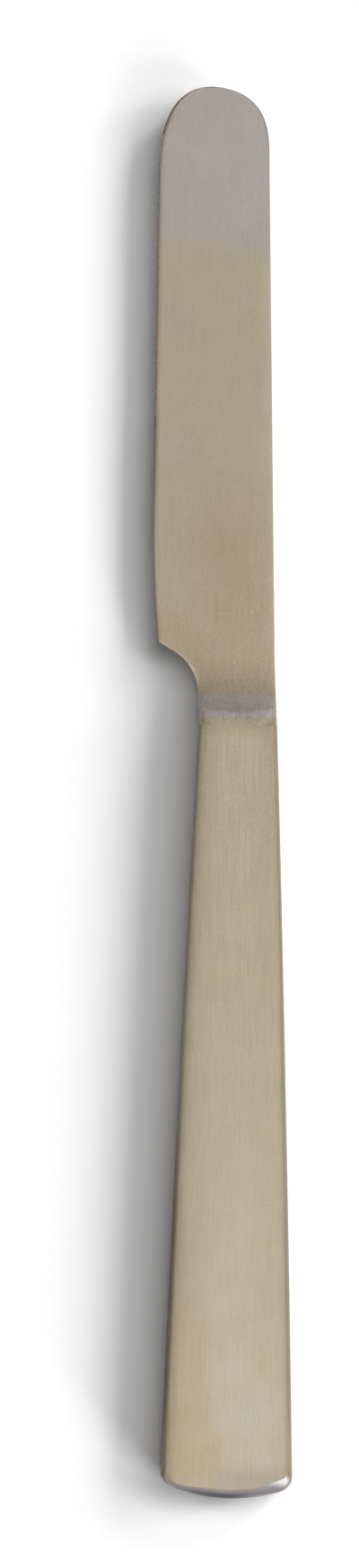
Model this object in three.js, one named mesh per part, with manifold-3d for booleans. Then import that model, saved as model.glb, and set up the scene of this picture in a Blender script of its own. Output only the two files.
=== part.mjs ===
// A table knife with a hollow handle, lying on its back. Millimetres, +Z up.
// +Y runs along the handle from the butt to the tip of the blade, and the cutting edge faces -X.
// The origin is the middle of the flat back of the handle, which the knife rests on.
import * as THREE from "three";
import { mergeVertices } from "three/addons/utils/BufferGeometryUtils.js";
import Module from "manifold-3d";

const wasm = await Module();
wasm.setup();

// Handle, seen from above: a bar that flares from the mouth, where the bolster seats, to a round butt.
const HANDLE_LENGTH = 131.4;
const HANDLE_THICKNESS = 6.2;
const MOUTH_WIDTH = 13.3;
const BUTT_WIDTH = 22.7; // across the sides, carried on to the crown of the butt
const SIDE_BULGE = 0.22; // how far each side bows out from the straight line
const BUTT_RADIUS = 29;
const BUTT_SKEW = 0.9; // how far the crown of the butt lies from the axis, on the side of the spine
const BUTT_CORNER = 2.1; // where the butt's corners start to round, from the sharp corner

// Handle, in section: two shells with flat faces, rounded borders and an upright band with the seam.
const SIDE_ROUND = 3; // width of the rounded border along the sides
const BUTT_ROUND = 1.8; // and round the butt
const SIDE_BAND = 1.6; // height of the upright band
const SHELL_WALL = 0.8;
const BRAZE_THICKNESS = 0.2;

// Blade, seen from above. Distances along it start at the mouth of the handle.
const BLADE_LENGTH = 108.6;
const EDGE_OFFSET = 15.05; // straight cutting edge, from the axis of the handle
const SPINE_OFFSET = 6.33; // line of the spine where it meets the mouth, from the axis
const SPINE_LEAN = 1.51; // degrees by which the spine closes on the axis
const SPINE_FLARE = 12; // length over which the spine widens into the neck
const TIP_OFFSET = 6.36; // foremost point, from the axis, on the side of the edge
const TIP_EDGE_CURVE = 18; // length of the tip's curve on the side of the edge
const TIP_SPINE_CURVE = 12.5; // and on the side of the spine
const TIP_ALONG = 3.2; // exponents of the tip's curve along and across the blade, where 2 and 2 are an ellipse
const TIP_ACROSS = 2.12;
const TIP_FLAT = 0.8;
const HEEL_DISTANCE = 14;
const HEEL_RELIEF = 1.25; // how far the heel stays back from the line of the edge
const RELIEF_END = 38; // where the edge becomes straight
const HEEL_LEAN = 30.6; // degrees from the square cut, of the line behind the heel
const CHOIL_RADIUS = 8.8;
const NECK_LEAN = 2.9; // degrees by which the neck widens towards the choil

// Blade, in section: a wedge from spine to edge, which also thins towards the tip.
const SPINE_THICKNESS = 2.3;
const TIP_THICKNESS = 1.2;
const EDGE_THICKNESS = 0.44; // of the wedge where the sharpened border starts
const EDGE_BEVEL = 0.5; // width of the sharpened border
const EDGE_LAND = 0.1; // thickness that is left at the very edge
const SPINE_ROUND = 0.3;

// Fine scallops along the cutting edge.
const SERRATION_FROM_TIP = 8.3;
const SERRATION_LENGTH = 48;
const SERRATION_PITCH = 1;
const SERRATION_DEPTH = 0.18;

// Bolster: it rolls off from the mouth to a bowed crest, and a cove is ground from there to the blade.
const CREST_DISTANCE = 2.25; // in the middle of the blade's width
const CREST_BOW = 0.9; // how much further forward the crest lies at the sides
const CREST_DROP = 0.34; // below the face of the handle
const CREST_ROUND = 1; // rounding of the sides there
const COVE_END = 11.9;

// Spigot and tang, which the shells and the cement hide.
const SPIGOT_LENGTH = 8;
const SPIGOT_ROOT = 1; // overlap of the spigot with the bolster that it grows from
const TANG_LENGTH = 52; // behind the spigot
const TANG_ROOT_WIDTH = 7;
const TANG_END_WIDTH = 4.6;
const TANG_THICKNESS = 2.2;
const TANG_NOTCH_RADIUS = 1.1;
const TANG_NOTCH_COUNT = 3;
const FIT_CLEARANCE = 0.3; // spigot to shells, cement to shells and cement to tang

// Facets.
const ROUND_STEPS = 4;
const FACE_STEPS = 4;
const SIDE_STEPS = 8;
const CORNER_STEPS = 4;
const BUTT_STEPS = 7;
const CURVE_STEPS = 8;
const TIP_STEPS = 16;
const SCALLOP_SIDES = 18;

// Places that follow from the sizes.
const MOUTH_Y = HANDLE_LENGTH / 2;
const MIDDLE_Z = HANDLE_THICKNESS / 2;
const ROUND_HEIGHT = (HANDLE_THICKNESS - SIDE_BAND) / 2;
const QUARTER = Math.PI / 2;
const { degToRad, lerp, clamp } = THREE.MathUtils;

// The numbers from first to last in equal steps, both ends included.
function steps(first, last, count) {
  return Array.from({ length: count + 1 }, (_, i) => lerp(first, last, i / count));
}

// A closed skin over rings of equal point counts, which run anticlockwise seen from the last ring's side.
function loft(rings) {
  const count = rings[0].length;
  const points = rings.flat();
  const faces = [];
  for (let r = 0; r + 1 < rings.length; r++) {
    for (let i = 0; i < count; i++) {
      const next = (i + 1) % count;
      const [a, b] = [r * count + i, r * count + next];
      const [c, d] = [a + count, b + count];
      faces.push(a, b, d, a, d, c);
    }
  }
  for (const [start, ring, flip] of [
    [0, rings[0], true],
    [points.length - count, rings.at(-1), false],
  ]) {
    const middle = ring.reduce((sum, p) => sum.add(p), new THREE.Vector3()).divideScalar(count);
    const hub = points.push(middle) - 1;
    for (let i = 0; i < count; i++) {
      const [a, b] = [start + i, start + ((i + 1) % count)];
      faces.push(hub, flip ? b : a, flip ? a : b);
    }
  }
  return new THREE.BufferGeometry().setFromPoints(points).setIndex(faces);
}

// A closed geometry as a solid that can be joined and cut.
function solid(geometry) {
  const bare = geometry.clone();
  bare.deleteAttribute("normal");
  bare.deleteAttribute("uv");
  const merged = mergeVertices(bare, 1e-5);
  return new wasm.Manifold(
    new wasm.Mesh({
      numProp: 3,
      vertProperties: merged.attributes.position.array,
      triVerts: new Uint32Array(merged.index.array),
    }),
  );
}

// A named mesh of a solid, in its own material.
function part(name, body, material) {
  const { vertProperties, triVerts } = body.getMesh();
  const geometry = new THREE.BufferGeometry();
  geometry.setAttribute("position", new THREE.BufferAttribute(vertProperties, 3));
  geometry.setIndex(new THREE.BufferAttribute(triVerts, 1));
  geometry.computeVertexNormals();
  const mesh = new THREE.Mesh(geometry, new THREE.MeshStandardMaterial(material));
  mesh.name = name;
  return mesh;
}

// Half the handle's width, a distance behind the mouth.
function halfWidth(behind) {
  const f = behind / HANDLE_LENGTH;
  return lerp(MOUTH_WIDTH, BUTT_WIDTH, f) / 2 + 4 * SIDE_BULGE * f * (1 - f);
}

// One side of the handle's outline, drawn in at the side and at the butt, from the mouth to the butt's middle.
// The side is -1 for the cutting edge's and 1 for the spine's.
function outlineSide(side, inSide, inButt, mouthY) {
  const centre = BUTT_RADIUS - HANDLE_LENGTH / 2;
  const sideX = (y) => side * (halfWidth(MOUTH_Y - y) - inSide);
  const buttY = (x) => centre - Math.sqrt((BUTT_RADIUS - inButt) ** 2 - (x - BUTT_SKEW) ** 2);
  let cornerY = centre - BUTT_RADIUS;
  for (let i = 0; i < 4; i++) cornerY = buttY(sideX(cornerY));
  const cornerX = sideX(cornerY);
  const startY = cornerY + BUTT_CORNER;
  const endX = cornerX - side * BUTT_CORNER;
  const corner = new THREE.QuadraticBezierCurve(
    new THREE.Vector2(sideX(startY), startY),
    new THREE.Vector2(cornerX, cornerY),
    new THREE.Vector2(endX, buttY(endX)),
  );
  return [
    ...steps(mouthY, startY, SIDE_STEPS).map((y) => new THREE.Vector2(sideX(y), y)),
    ...corner.getPoints(CORNER_STEPS).slice(1),
    ...steps(endX, 0, BUTT_STEPS).slice(1).map((x) => new THREE.Vector2(x, buttY(x))),
  ];
}

// Outline of the handle at one height, as a ring from mouth to mouth round the butt.
function handleOutline(inSide, inButt, z, mouthY) {
  const left = outlineSide(-1, inSide, inButt, mouthY);
  const right = outlineSide(1, inSide, inButt, mouthY).slice(0, -1);
  return [...left, ...right.reverse()].map((p) => new THREE.Vector3(p.x, p.y, z));
}

// The handle's form, drawn in by a skin on the faces, the sides and the butt.
function handleForm(skin, mouthY) {
  const turns = steps(-QUARTER, 0, ROUND_STEPS).map((turn) => [turn, -1]);
  turns.push(...steps(0, QUARTER, ROUND_STEPS).map((turn) => [turn, 1]));
  const rings = turns.map(([turn, face]) => {
    const inwards = 1 - Math.cos(turn);
    const z = (face * SIDE_BAND) / 2 + (ROUND_HEIGHT - skin) * Math.sin(turn);
    return handleOutline(
      skin + (SIDE_ROUND - skin) * inwards,
      skin + (BUTT_ROUND - skin) * inwards,
      MIDDLE_Z + z,
      mouthY,
    );
  });
  return solid(loft(rings));
}

// A block over the whole handle between two heights.
function layer(low, high) {
  const block = new THREE.BoxGeometry(2 * BUTT_WIDTH, 2 * HANDLE_LENGTH, high - low);
  return solid(block.translate(0, 0, (low + high) / 2));
}

// The arc of the choil, which rounds the corner between the neck and the line behind the heel.
// Distances out are from the axis on the side of the edge, and distances along start at the mouth.
function choilArc() {
  const neck = Math.tan(degToRad(NECK_LEAN));
  const lean = degToRad(HEEL_LEAN);
  const heelOut = EDGE_OFFSET - HEEL_RELIEF;
  const neckOut = MOUTH_WIDTH / 2 + CHOIL_RADIUS * Math.hypot(1, neck);
  const reach = HEEL_DISTANCE * Math.cos(lean) - CHOIL_RADIUS + (neckOut - heelOut) * Math.sin(lean);
  const along = reach / (Math.cos(lean) - neck * Math.sin(lean));
  const tangent = Math.sin(degToRad(NECK_LEAN));
  return {
    along,
    out: neckOut + neck * along,
    start: along + CHOIL_RADIUS * tangent,
    end: along + CHOIL_RADIUS * Math.cos(lean),
  };
}
const CHOIL = choilArc();

// Share of the blade's width that is left on the way through the tip's curve.
function tipShare(along, curve) {
  const f = clamp((along - BLADE_LENGTH + curve) / curve, 0, 1);
  return (1 - f ** TIP_ALONG) ** (1 / TIP_ACROSS);
}

// Distance of the cutting side from the axis.
function cuttingSide(along) {
  if (along < CHOIL.start) return MOUTH_WIDTH / 2 + along * Math.tan(degToRad(NECK_LEAN));
  if (along < CHOIL.end) return CHOIL.out - Math.sqrt(CHOIL_RADIUS ** 2 - (along - CHOIL.along) ** 2);
  const behind = (HEEL_DISTANCE - along) / Math.tan(degToRad(HEEL_LEAN));
  if (behind > 0) return EDGE_OFFSET - HEEL_RELIEF - behind;
  const relief = clamp((RELIEF_END - along) / (RELIEF_END - HEEL_DISTANCE), 0, 1);
  const width = EDGE_OFFSET - HEEL_RELIEF * relief ** 2 - TIP_OFFSET;
  return TIP_OFFSET + Math.max(width * tipShare(along, TIP_EDGE_CURVE), TIP_FLAT / 2);
}

// Straight line of the spine, and the spine itself with its flare into the neck and its curve at the tip.
function spineLine(along) {
  return SPINE_OFFSET - along * Math.tan(degToRad(SPINE_LEAN));
}
function spineSide(along) {
  const flare = MOUTH_WIDTH / 2 - SPINE_OFFSET;
  const widened = spineLine(along) + flare * clamp(1 - along / SPINE_FLARE, 0, 1) ** 2;
  return Math.max((widened + TIP_OFFSET) * tipShare(along, TIP_SPINE_CURVE), TIP_FLAT / 2) - TIP_OFFSET;
}

// Half the thickness of the ground blade: a wedge from the edge to the spine.
function wedge(x, along) {
  const spine = lerp(SPINE_THICKNESS, TIP_THICKNESS, clamp(along / BLADE_LENGTH, 0, 1)) / 2;
  const across = (x + EDGE_OFFSET) / (spineLine(along) + EDGE_OFFSET);
  return lerp(EDGE_THICKNESS / 2, spine, across);
}

// How far forward the crest lies, where "side" is 0 in the middle and 1 at the sides.
function crest(side) {
  return CREST_DISTANCE + CREST_BOW * side ** 2;
}

// Half the thickness of blade and bolster at a point of the face. The crest is level across the blade,
// and the cove falls from it as a parabola that ends flush with the wedge.
function faceHeight(x, along, side) {
  const top = crest(side);
  const crestHeight = MIDDLE_Z - CREST_DROP;
  if (along < top) return lerp(MIDDLE_Z, crestHeight, (along / top) ** 2);
  const rise = crestHeight - wedge(x, top);
  return wedge(x, along) + rise * clamp((COVE_END - along) / (COVE_END - top), 0, 1) ** 2;
}

// A station counted along the middle of the face, moved so that the crest's stations follow its bow.
function bowed(station, side) {
  if (station >= COVE_END) return station;
  if (station <= CREST_DISTANCE) return (station * crest(side)) / CREST_DISTANCE;
  const f = (station - CREST_DISTANCE) / (COVE_END - CREST_DISTANCE);
  return lerp(crest(side), COVE_END, f);
}

// Rounding of the two sides at a station: its width, and the half height of the upright wall below it.
function sideRounding(along, chord, leftTop, rightTop) {
  const toCrest = clamp(along / crest(1), 0, 1);
  const toBlade = clamp((along - crest(1)) / (COVE_END - crest(1)), 0, 1);
  const neckWidth = lerp(SIDE_ROUND, CREST_ROUND, toCrest);
  const neckHeight = lerp(ROUND_HEIGHT, CREST_ROUND, toCrest);
  const limit = 0.4 * chord;
  return {
    left: Math.min(lerp(neckWidth, EDGE_BEVEL, toBlade), limit),
    right: Math.min(lerp(neckWidth, SPINE_ROUND, toBlade), limit),
    leftWall: lerp(leftTop - neckHeight, EDGE_LAND / 2, toBlade),
    rightWall: lerp(rightTop - neckHeight, rightTop - SPINE_ROUND, toBlade),
  };
}

// Section of blade and bolster at a station, over the top from edge to spine and back below.
function bladeRing(station) {
  const along = bowed(station, 1);
  const [x0, x1] = [-cuttingSide(along), spineSide(along)];
  const round = sideRounding(along, x1 - x0, faceHeight(x0, along, 1), faceHeight(x1, along, 1));
  const up = steps(0, QUARTER, ROUND_STEPS);
  const columns = [
    ...up.map((t) => [x0 + round.left * (1 - Math.cos(t)), round.leftWall, Math.sin(t)]),
    ...steps(x0 + round.left, x1 - round.right, FACE_STEPS).slice(1, -1).map((x) => [x, 0, 1]),
    ...up.map((t) => [x1 - round.right * (1 - Math.cos(t)), round.rightWall, Math.sin(t)]).reverse(),
  ];
  const top = columns.map(([x, wall, share]) => {
    const side = (2 * (x - x0)) / (x1 - x0) - 1;
    const s = bowed(station, side);
    return new THREE.Vector3(x, MOUTH_Y + s, lerp(wall, faceHeight(x, s, side), share));
  });
  const below = top.map((p) => new THREE.Vector3(p.x, p.y, -p.z)).reverse();
  return [...top, ...below].map((p) => p.setZ(p.z + MIDDLE_Z));
}

// Stations of blade and bolster, closest where an outline or a face curves most.
function bladeStations() {
  const choilTurns = steps(Math.asin((CHOIL.start - CHOIL.along) / CHOIL_RADIUS), QUARTER, CURVE_STEPS);
  const tipTurns = steps(0, QUARTER, TIP_STEPS).slice(1);
  const all = [
    ...steps(0, CREST_DISTANCE, 2),
    ...steps(CREST_DISTANCE, COVE_END, CURVE_STEPS),
    ...choilTurns.map((t) => Math.min(CHOIL.along + CHOIL_RADIUS * Math.sin(t), CHOIL.end)),
    HEEL_DISTANCE,
    ...steps(HEEL_DISTANCE, RELIEF_END, CURVE_STEPS),
    BLADE_LENGTH - TIP_EDGE_CURVE,
    ...tipTurns.map((t) => BLADE_LENGTH - TIP_EDGE_CURVE * (1 - Math.sin(t))),
  ];
  const apart = 0.01;
  return all.sort((a, b) => a - b).filter((s, i) => i === 0 || s - all[i - 1] > apart);
}

// The scallops, as upright round cutters that stand outside the edge and reach in by their depth.
function scallops() {
  const radius = (SERRATION_PITCH ** 2 / 4 + SERRATION_DEPTH ** 2) / (2 * SERRATION_DEPTH);
  const first = BLADE_LENGTH - SERRATION_FROM_TIP;
  const count = Math.floor(SERRATION_LENGTH / SERRATION_PITCH);
  return Array.from({ length: count }, (_, i) => {
    const along = first - (i + 0.5) * SERRATION_PITCH;
    const slope = (cuttingSide(along + 0.1) - cuttingSide(along - 0.1)) / 0.2;
    const off = (radius - SERRATION_DEPTH) / Math.hypot(1, slope);
    const cutter = new THREE.CylinderGeometry(radius, radius, HANDLE_THICKNESS, SCALLOP_SIDES);
    cutter.rotateX(QUARTER);
    cutter.translate(-cuttingSide(along) - off, MOUTH_Y + along - slope * off, MIDDLE_Z);
    return solid(cutter);
  });
}

// The spigot fills the mouth of the shells with a running clearance, and its sides are parallel.
function spigot() {
  const inset = SHELL_WALL + FIT_CLEARANCE;
  const halfAcross = MOUTH_WIDTH / 2 - inset;
  const [width, height] = [SIDE_ROUND - inset, ROUND_HEIGHT - inset];
  const corner = steps(0, QUARTER, ROUND_STEPS);
  const ring = (y) => {
    const points = [];
    for (const [sx, sz] of [[-1, 1], [1, 1], [1, -1], [-1, -1]]) {
      const turns = sx * sz < 0 ? corner : [...corner].reverse();
      for (const t of turns) {
        const x = halfAcross - width * (1 - Math.cos(t));
        const z = SIDE_BAND / 2 + height * Math.sin(t);
        points.push(new THREE.Vector3(sx * x, y, MIDDLE_Z + sz * z));
      }
    }
    return points;
  };
  return solid(loft([ring(MOUTH_Y - SPIGOT_LENGTH), ring(MOUTH_Y + SPIGOT_ROOT)]));
}

// The tang, or with an allowance the pocket that it leaves in the cement: a tapered flat with keying notches.
function tang(allowance, rootY) {
  const frontY = MOUTH_Y - SPIGOT_LENGTH;
  const halfAt = (y) => lerp(TANG_ROOT_WIDTH, TANG_END_WIDTH, (frontY - y) / TANG_LENGTH) / 2 + allowance;
  const endY = frontY - TANG_LENGTH;
  const pitch = TANG_LENGTH / (TANG_NOTCH_COUNT + 1);
  const radius = TANG_NOTCH_RADIUS - allowance;
  const notches = steps(frontY - pitch, endY + pitch, TANG_NOTCH_COUNT - 1);
  const shape = new THREE.Shape().moveTo(halfAt(rootY), rootY).lineTo(-halfAt(rootY), rootY);
  for (const y of notches) shape.absarc(-halfAt(y), y, radius, QUARTER, -QUARTER, true);
  shape.lineTo(-halfAt(endY), endY - allowance).lineTo(halfAt(endY), endY - allowance);
  for (const y of notches.reverse()) shape.absarc(halfAt(y), y, radius, -QUARTER, -3 * QUARTER, true);
  const depth = TANG_THICKNESS + 2 * allowance;
  const flat = new THREE.ExtrudeGeometry(shape, { depth, bevelEnabled: false, curveSegments: CURVE_STEPS });
  return solid(flat.translate(0, 0, MIDDLE_Z - depth / 2));
}

// Blade, bolster, spigot and tang are one forging.
function bladeSolid() {
  const ground = solid(loft(bladeStations().map(bladeRing)));
  const serrated = scallops().reduce((body, cutter) => body.subtract(cutter), ground);
  return serrated.add(spigot()).add(tang(0, MOUTH_Y - SPIGOT_LENGTH + SPIGOT_ROOT));
}

// The cement fills the hollow behind the spigot, and the tang's pocket opens towards it.
function cementSolid() {
  const frontY = MOUTH_Y - SPIGOT_LENGTH - FIT_CLEARANCE;
  return handleForm(SHELL_WALL + FIT_CLEARANCE, frontY).subtract(tang(FIT_CLEARANCE, MOUTH_Y));
}

// Both shells and the braze between them are layers of one hollow form that is open at the mouth.
const hollow = handleForm(0, MOUTH_Y).subtract(handleForm(SHELL_WALL, MOUTH_Y + SPIGOT_LENGTH));
const seamLow = MIDDLE_Z - BRAZE_THICKNESS / 2;
const seamHigh = MIDDLE_Z + BRAZE_THICKNESS / 2;

const steel = { color: 0xb4a78f, roughness: 0.32, metalness: 1 };
const braze = { color: 0xa39c8c, roughness: 0.4, metalness: 1 };
const cement = { color: 0x8d8a82, roughness: 0.9, metalness: 0 };

const knife = new THREE.Group();
knife.add(part("blade", bladeSolid(), steel));
knife.add(part("front_shell", hollow.intersect(layer(seamHigh, 2 * HANDLE_THICKNESS)), steel));
knife.add(part("back_shell", hollow.intersect(layer(-HANDLE_THICKNESS, seamLow)), steel));
knife.add(part("seam_braze", hollow.intersect(layer(seamLow, seamHigh)), braze));
knife.add(part("handle_cement", cementSolid(), cement));

export default knife;
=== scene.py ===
# %% [markdown]
# # A table knife with a hollow handle
# The knife lies on its back on a white table, seen from straight above. It is all steel: a forged blade
# with a coved bolster, and a handle made of two pressed shells that are brazed together along their rims.
# The frame already holds these pieces as plain solids. The cells below make most of them again as fine
# surfaces, give each one a finish, and leave all of them exactly where the frame has them. The knife's
# lengths are in millimetres, and become metres when a mesh is made.

# %% Load the frame and read its sizes
import math

import bmesh
import bpy
import numpy as np
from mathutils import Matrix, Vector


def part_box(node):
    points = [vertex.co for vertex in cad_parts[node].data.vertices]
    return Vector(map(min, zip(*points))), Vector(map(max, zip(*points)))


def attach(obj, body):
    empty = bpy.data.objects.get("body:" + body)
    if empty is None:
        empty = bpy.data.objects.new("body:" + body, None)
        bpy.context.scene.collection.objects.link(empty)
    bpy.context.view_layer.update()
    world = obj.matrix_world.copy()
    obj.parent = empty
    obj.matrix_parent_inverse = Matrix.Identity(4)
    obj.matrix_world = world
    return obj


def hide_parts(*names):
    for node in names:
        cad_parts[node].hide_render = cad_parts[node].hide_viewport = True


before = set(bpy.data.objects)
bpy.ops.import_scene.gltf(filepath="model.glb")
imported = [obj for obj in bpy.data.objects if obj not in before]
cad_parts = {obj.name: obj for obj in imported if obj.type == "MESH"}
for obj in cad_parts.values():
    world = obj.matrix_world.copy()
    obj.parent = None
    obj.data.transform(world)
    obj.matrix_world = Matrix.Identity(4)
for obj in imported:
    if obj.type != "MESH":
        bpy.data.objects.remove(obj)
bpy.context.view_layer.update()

MM = 0.001
shell_low, shell_high = (np.array(corner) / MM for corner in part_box("front_shell"))
blade_low, blade_high = (np.array(corner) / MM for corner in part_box("blade"))
MOUTH_Y = shell_high[1]
BUTT_Y = shell_low[1]
HANDLE_LENGTH = MOUTH_Y - BUTT_Y
HALF_THICKNESS = shell_high[2] / 2
BLADE_LENGTH = blade_high[1] - MOUTH_Y
EDGE_OFFSET = -blade_low[0]
print(f"handle {HANDLE_LENGTH:.1f} mm, blade {BLADE_LENGTH:.1f} mm, half thickness {HALF_THICKNESS:.2f} mm")

# %% [markdown]
# ## The camera
# The photograph is a tall narrow picture from straight above, with the knife turned by less than a degree.
# A camera can be aimed with a constraint or by its rotation. Here it simply hangs over the middle of the
# picture and is turned about its own axis, so the lens alone sets how much of the table it sees.

# %% Hang the camera over the table
CAMERA_HEIGHT = 1.0
PICTURE_HEIGHT = 0.2669
PICTURE_CENTRE = (-9.81, 55.56)
PICTURE_TURN = 0.926
SENSOR = 36.0


def hang_camera():
    """A camera that looks straight down. Its lens is sensor times distance over picture height."""
    data = bpy.data.cameras.new("overhead")
    data.sensor_width = SENSOR
    data.lens = SENSOR * CAMERA_HEIGHT / PICTURE_HEIGHT
    camera = bpy.data.objects.new("overhead", data)
    camera.location = (
        PICTURE_CENTRE[0] * MM,
        PICTURE_CENTRE[1] * MM,
        HALF_THICKNESS * MM + CAMERA_HEIGHT,
    )
    camera.rotation_euler = (0, 0, math.radians(PICTURE_TURN))
    bpy.context.collection.objects.link(camera)
    bpy.context.scene.camera = camera
    return camera


camera = hang_camera()
print(f"camera at {tuple(round(v, 4) for v in camera.location)}, lens {camera.data.lens:.1f} mm")

# %% [markdown]
# ## From arrays to a mesh
# A surface that is worked out with numpy is a grid of points: rows run along the knife and columns run
# round it. A mesh could also be built face by face with bmesh, but Blender only needs the list of points
# and the four corners of every face, and numpy gives both at once. The helpers below also store the
# distance round and along as a UV map, because the shader has to know the direction of the brushing.


# %% Faces of a grid
def ring_faces(rows, columns):
    """Corners of all faces of a grid whose last column joins its first, with and without that wrap."""
    row, column = np.meshgrid(np.arange(rows - 1), np.arange(columns), indexing="ij")
    row, column = row.ravel(), column.ravel()
    after = (column + 1) % columns
    corners = [(row, column), (row, after), (row + 1, after), (row + 1, column)]
    wrapped = np.stack([r * columns + c for r, c in corners], axis=1)
    open_corners = [(row, column), (row, column + 1), (row + 1, column + 1), (row + 1, column)]
    unrolled = np.stack([r * (columns + 1) + c for r, c in open_corners], axis=1)
    return wrapped, unrolled


def cap_faces(first, columns):
    """Faces that close a ring of columns which runs out along one half and back along the other."""
    near = np.arange(columns // 2 - 1)
    far = columns - 1 - near
    return first + np.stack([near, near + 1, far - 1, far], axis=1)


def signed_volume(points, quads):
    """Sum of the volumes between each face's two triangles and the origin, negative if inside out."""
    a, b, c, d = (points[quads[:, k]] for k in range(4))
    halves = np.einsum("ij,ij->i", a, np.cross(b, c)) + np.einsum("ij,ij->i", a, np.cross(c, d))
    return halves.sum() / 6


# %% Turn a grid of points into a closed piece
WELD_DISTANCE = 1e-7
SHARP_ANGLE = 25


def brush_lengths(grid):
    """Metres round the section and along the rows, for each point of the grid without the wrap."""
    looped = np.concatenate([grid, grid[:, :1]], axis=1) * MM
    around = np.linalg.norm(np.diff(looped, axis=1), axis=2).cumsum(axis=1)
    along = np.linalg.norm(np.diff(looped, axis=0), axis=2).cumsum(axis=0)
    both = [np.pad(around, ((0, 0), (1, 0))), np.pad(along, ((1, 0), (0, 0)))]
    return np.stack(both, axis=2).reshape(-1, 2)


def weld(mesh):
    """Joins points that lie together, which closes the poles where a row shrinks to nothing."""
    shape = bmesh.new()
    shape.from_mesh(mesh)
    bmesh.ops.remove_doubles(shape, verts=shape.verts, dist=WELD_DISTANCE)
    bmesh.ops.dissolve_degenerate(shape, edges=shape.edges, dist=WELD_DISTANCE)
    shape.to_mesh(mesh)
    shape.free()


def closed_piece(name, grid, masks, capped=("first", "last"), sharp_degrees=SHARP_ANGLE):
    """A closed piece from a grid of points in millimetres, capped at its first and last row as asked. The
    two caps run opposite ways round, as the ring does at its two ends, so that all faces point the same
    way. The UV keeps the brush direction, and each mask becomes an attribute of the points."""
    rows, columns = grid.shape[:2]
    points = grid.reshape(-1, 3) * MM
    quads, unrolled = ring_faces(rows, columns)
    ends = {
        "first": cap_faces(0, columns)[:, ::-1],
        "last": cap_faces((rows - 1) * columns, columns),
    }
    caps = np.concatenate([ends[end] for end in capped])
    cap_uv = points[caps][:, :, [0, 2]]
    uv = np.concatenate([brush_lengths(grid)[unrolled], cap_uv])
    quads = np.concatenate([quads, caps])
    if signed_volume(points, quads) < 0:
        quads, uv = quads[:, ::-1], uv[:, ::-1]
    mesh = bpy.data.meshes.new(name)
    mesh.from_pydata(points, [], quads.tolist())
    layer = mesh.uv_layers.new(name="brush")
    layer.data.foreach_set("uv", np.ascontiguousarray(uv, dtype=np.float32).ravel())
    for mask, values in masks.items():
        attribute = mesh.attributes.new(mask, "FLOAT", "POINT")
        attribute.data.foreach_set("value", values.astype(np.float32).ravel())
    weld(mesh)
    mesh.shade_smooth()
    mesh.set_sharp_from_angle(angle=math.radians(sharp_degrees))
    piece = bpy.data.objects.new(name, mesh)
    bpy.context.collection.objects.link(piece)
    print(f"{name}: {len(mesh.vertices)} points, {len(mesh.polygons)} faces")
    return piece


# %% Blend between values
def part_way(value, low, high):
    """How far a value is on the way from low to high: 0 up to low, 1 from high on, and a straight line
    between. It also runs backwards if high is below low."""
    return np.clip((value - low) / (high - low), 0, 1)


def smooth_step(value, low, high):
    """The same way from 0 to 1 as an S-curve: three times the square, less twice the cube."""
    share = part_way(value, low, high)
    return share * share * (3 - 2 * share)


def between(first, last, share):
    """The value at that share of the way from first to last."""
    return first + (last - first) * share


# %% [markdown]
# ## The handle's outline
# Seen from above the handle flares from the mouth to the butt, bows out a little, turns a rounded corner
# and ends in a wide arc. One could trace this as a curve by hand, but a formula lets the same outline be
# drawn in by any amount, and a stack of such outlines at rising heights is what a rounded border is.

# %% Draw the outline, drawn in by any amount
MOUTH_WIDTH = 13.3
BUTT_WIDTH = 22.7
SIDE_BULGE = 0.22
BUTT_RADIUS = 29
BUTT_SKEW = 0.9
BUTT_CORNER = 2.1
CORNER_TIGHTEN = 0.9
CORNER_TRIES = 4
RIM_WIDENED = 0.3
RIM_WIDE_CORNER = (0.4, 0.8)
RIM_RUN_OUT = 0.55
RIM_RUN_CORNER = (-0.12, -0.97)
GATHERED = 0.15
GATHER_START = 18
GATHER_END = 2
MOUTH_PART = 0.03
MOUTH_ROWS = 12
SIDE_ROWS = 60
CORNER_ROWS = 18
BUTT_ROWS = 26
SIDE_SHARES = np.concatenate([
    np.linspace(0, MOUTH_PART, MOUTH_ROWS),
    np.linspace(MOUTH_PART, 1, SIDE_ROWS)[1:],
])
CORNER_SHARES = np.linspace(0, 1, CORNER_ROWS)[1:]
BUTT_SHARES = np.linspace(0, 1, BUTT_ROWS)[1:]


def half_width(y):
    """Half the handle's width: a straight flare from mouth to butt, bowed out by a parabola."""
    behind = (MOUTH_Y - y) / HANDLE_LENGTH
    return between(MOUTH_WIDTH, BUTT_WIDTH, behind) / 2 + 4 * SIDE_BULGE * behind * (1 - behind)


def gather(y):
    """Share of their distance from the side that inner outlines keep, which shrinks before the butt."""
    return between(GATHERED, 1, smooth_step(y, BUTT_Y + GATHER_END, BUTT_Y + GATHER_START))


def bevel_share(x):
    """Share of the bevel's width: it widens to the right corner and runs out before the left one."""
    side = 2 * x / BUTT_WIDTH
    widened = RIM_WIDENED * smooth_step(side, *RIM_WIDE_CORNER)
    return 1 + widened - RIM_RUN_OUT * smooth_step(side, *RIM_RUN_CORNER)


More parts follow.
